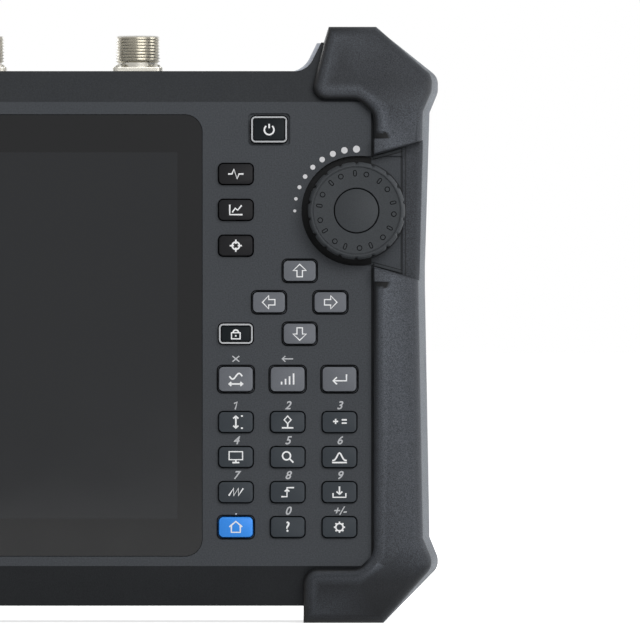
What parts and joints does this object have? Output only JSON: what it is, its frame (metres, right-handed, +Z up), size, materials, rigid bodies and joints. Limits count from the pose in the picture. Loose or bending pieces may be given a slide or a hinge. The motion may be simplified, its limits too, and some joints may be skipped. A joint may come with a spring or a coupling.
{
  "type": "antenna analyzer",
  "caption": "Handheld antenna analyzer with a large display, rubber end bumpers, keypad, tuning knob with push button, two test ports and a folding rear stand.",
  "frame": {"origin": "centre of the bounding box at the table, where the two bumpers stand", "axes": "+Z up, the front panel faces -Y, +X to the right of the person who reads the screen"},
  "size_m": [0.3014, 0.08, 0.209],
  "materials": {
    "panel": "fine textured grey",
    "rear": "fine textured light grey",
    "bumper": "coarse textured grey",
    "seal": "matte black",
    "screw": "zinc plated",
    "glass": "gloss black",
    "gasket": "foam black",
    "display": "dark",
    "key_dark": "satin charcoal",
    "key_grey": "satin mid grey",
    "key_light": "satin light grey",
    "key_blue": "satin blue",
    "ring": "silver light ring",
    "knob": "satin dark grey",
    "board": "green laminate",
    "dome": "bright",
    "metal": "plain",
    "steel": "plain",
    "nickel": "nickel plated",
    "ptfe": "white insulator",
    "brass": "gold plated contact",
    "black": "black",
    "battery": "dark grey pack"
  },
  "bodies": {
    "case": {"aerial_port": "brass", "battery_door": "rear", "battery_door_screws": "screw", "battery_pack": "battery", "dc_jack": "black", "display_gasket": "gasket", "display_glass": "glass", "display_module": "display", "encoder_body": "black", "flap_pin": "steel", "front_shell": "panel", "housing_screws": "screw", "housing_seal": "seal", "key_domes": "dome", "keypad_board": "board", "left_bumper": "bumper", "main_board": "board", "mid_frame": "metal", "port_contacts": "brass", "port_insulators": "ptfe", "rear_shell": "rear", "right_bumper": "bumper", "shield_can": "steel", "speaker": "black", "stand_pins": "steel", "test_port_left": "nickel", "test_port_right": "nickel", "usb_port": "steel"},
    "knob": {"knob": "knob", "encoder_shaft": "steel"},
    "knob_button": {"knob_button": "knob"},
    "port_flap": {"port_flap": "bumper"},
    "tilt_stand": {"tilt_stand": "panel"},
    "key_back": {"key_back": "key_light"},
    "key_down": {"key_down": "key_light"},
    "key_eight": {"key_eight": "key_grey"},
    "key_enter": {"key_enter": "key_light"},
    "key_escape": {"key_escape": "key_light"},
    "key_five": {"key_five": "key_grey"},
    "key_four": {"key_four": "key_grey"},
    "key_function_high": {"key_function_high": "key_dark"},
    "key_function_low": {"key_function_low": "key_dark"},
    "key_function_middle": {"key_function_middle": "key_dark"},
    "key_left": {"key_left": "key_light"},
    "key_lock": {"key_lock": "key_dark", "key_lock_ring": "ring"},
    "key_nine": {"key_nine": "key_grey"},
    "key_one": {"key_one": "key_grey"},
    "key_point": {"key_point": "key_blue"},
    "key_power": {"key_power": "key_dark", "key_power_ring": "ring"},
    "key_right": {"key_right": "key_light"},
    "key_seven": {"key_seven": "key_grey"},
    "key_sign": {"key_sign": "key_grey"},
    "key_six": {"key_six": "key_grey"},
    "key_three": {"key_three": "key_grey"},
    "key_two": {"key_two": "key_grey"},
    "key_up": {"key_up": "key_light"},
    "key_zero": {"key_zero": "key_grey"}
  },
  "joints": [
    {"name": "key_back_press", "type": "slide", "parent": "case", "child": "key_back", "axis": [0, 1, 0], "range_m": [0, 0.0008], "stiffness_N_per_m": 1500, "springref_m": -0.0004},
    {"name": "key_down_press", "type": "slide", "parent": "case", "child": "key_down", "axis": [0, 1, 0], "range_m": [0, 0.0008], "stiffness_N_per_m": 1500, "springref_m": -0.0004},
    {"name": "key_eight_press", "type": "slide", "parent": "case", "child": "key_eight", "axis": [0, 1, 0], "range_m": [0, 0.0008], "stiffness_N_per_m": 1500, "springref_m": -0.0004},
    {"name": "key_enter_press", "type": "slide", "parent": "case", "child": "key_enter", "axis": [0, 1, 0], "range_m": [0, 0.0008], "stiffness_N_per_m": 1500, "springref_m": -0.0004},
    {"name": "key_escape_press", "type": "slide", "parent": "case", "child": "key_escape", "axis": [0, 1, 0], "range_m": [0, 0.0008], "stiffness_N_per_m": 1500, "springref_m": -0.0004},
    {"name": "key_five_press", "type": "slide", "parent": "case", "child": "key_five", "axis": [0, 1, 0], "range_m": [0, 0.0008], "stiffness_N_per_m": 1500, "springref_m": -0.0004},
    {"name": "key_four_press", "type": "slide", "parent": "case", "child": "key_four", "axis": [0, 1, 0], "range_m": [0, 0.0008], "stiffness_N_per_m": 1500, "springref_m": -0.0004},
    {"name": "key_function_high_press", "type": "slide", "parent": "case", "child": "key_function_high", "axis": [0, 1, 0], "range_m": [0, 0.0008], "stiffness_N_per_m": 1500, "springref_m": -0.0004},
    {"name": "key_function_low_press", "type": "slide", "parent": "case", "child": "key_function_low", "axis": [0, 1, 0], "range_m": [0, 0.0008], "stiffness_N_per_m": 1500, "springref_m": -0.0004},
    {"name": "key_function_middle_press", "type": "slide", "parent": "case", "child": "key_function_middle", "axis": [0, 1, 0], "range_m": [0, 0.0008], "stiffness_N_per_m": 1500, "springref_m": -0.0004},
    {"name": "key_left_press", "type": "slide", "parent": "case", "child": "key_left", "axis": [0, 1, 0], "range_m": [0, 0.0008], "stiffness_N_per_m": 1500, "springref_m": -0.0004},
    {"name": "key_lock_press", "type": "slide", "parent": "case", "child": "key_lock", "axis": [0, 1, 0], "range_m": [0, 0.0008], "stiffness_N_per_m": 1500, "springref_m": -0.0004},
    {"name": "key_nine_press", "type": "slide", "parent": "case", "child": "key_nine", "axis": [0, 1, 0], "range_m": [0, 0.0008], "stiffness_N_per_m": 1500, "springref_m": -0.0004},
    {"name": "key_one_press", "type": "slide", "parent": "case", "child": "key_one", "axis": [0, 1, 0], "range_m": [0, 0.0008], "stiffness_N_per_m": 1500, "springref_m": -0.0004},
    {"name": "key_point_press", "type": "slide", "parent": "case", "child": "key_point", "axis": [0, 1, 0], "range_m": [0, 0.0008], "stiffness_N_per_m": 1500, "springref_m": -0.0004},
    {"name": "key_power_press", "type": "slide", "parent": "case", "child": "key_power", "axis": [0, 1, 0], "range_m": [0, 0.0008], "stiffness_N_per_m": 1500, "springref_m": -0.0004},
    {"name": "key_right_press", "type": "slide", "parent": "case", "child": "key_right", "axis": [0, 1, 0], "range_m": [0, 0.0008], "stiffness_N_per_m": 1500, "springref_m": -0.0004},
    {"name": "key_seven_press", "type": "slide", "parent": "case", "child": "key_seven", "axis": [0, 1, 0], "range_m": [0, 0.0008], "stiffness_N_per_m": 1500, "springref_m": -0.0004},
    {"name": "key_sign_press", "type": "slide", "parent": "case", "child": "key_sign", "axis": [0, 1, 0], "range_m": [0, 0.0008], "stiffness_N_per_m": 1500, "springref_m": -0.0004},
    {"name": "key_six_press", "type": "slide", "parent": "case", "child": "key_six", "axis": [0, 1, 0], "range_m": [0, 0.0008], "stiffness_N_per_m": 1500, "springref_m": -0.0004},
    {"name": "key_three_press", "type": "slide", "parent": "case", "child": "key_three", "axis": [0, 1, 0], "range_m": [0, 0.0008], "stiffness_N_per_m": 1500, "springref_m": -0.0004},
    {"name": "key_two_press", "type": "slide", "parent": "case", "child": "key_two", "axis": [0, 1, 0], "range_m": [0, 0.0008], "stiffness_N_per_m": 1500, "springref_m": -0.0004},
    {"name": "key_up_press", "type": "slide", "parent": "case", "child": "key_up", "axis": [0, 1, 0], "range_m": [0, 0.0008], "stiffness_N_per_m": 1500, "springref_m": -0.0004},
    {"name": "key_zero_press", "type": "slide", "parent": "case", "child": "key_zero", "axis": [0, 1, 0], "range_m": [0, 0.0008], "stiffness_N_per_m": 1500, "springref_m": -0.0004},
    {"name": "knob_turn", "type": "hinge", "parent": "case", "child": "knob", "pos_m": [0.12206, -0.031, 0.1444], "axis": [0, 1, 0], "continuous": true},
    {"name": "knob_button_press", "type": "slide", "parent": "knob", "child": "knob_button", "axis": [0, 1, 0], "range_m": [0, 0.0008], "stiffness_N_per_m": 1500, "springref_m": -0.0004},
    {"name": "port_flap_hinge", "type": "hinge", "parent": "case", "child": "port_flap", "pos_m": [-0.072, 0.0195, 0.19485], "axis": [1, 0, 0], "range_deg": [-120, 0]},
    {"name": "tilt_stand_hinge", "type": "hinge", "parent": "case", "child": "tilt_stand", "pos_m": [0, 0.03775, 0.128], "axis": [1, 0, 0], "range_deg": [0, 60]}
  ]
}
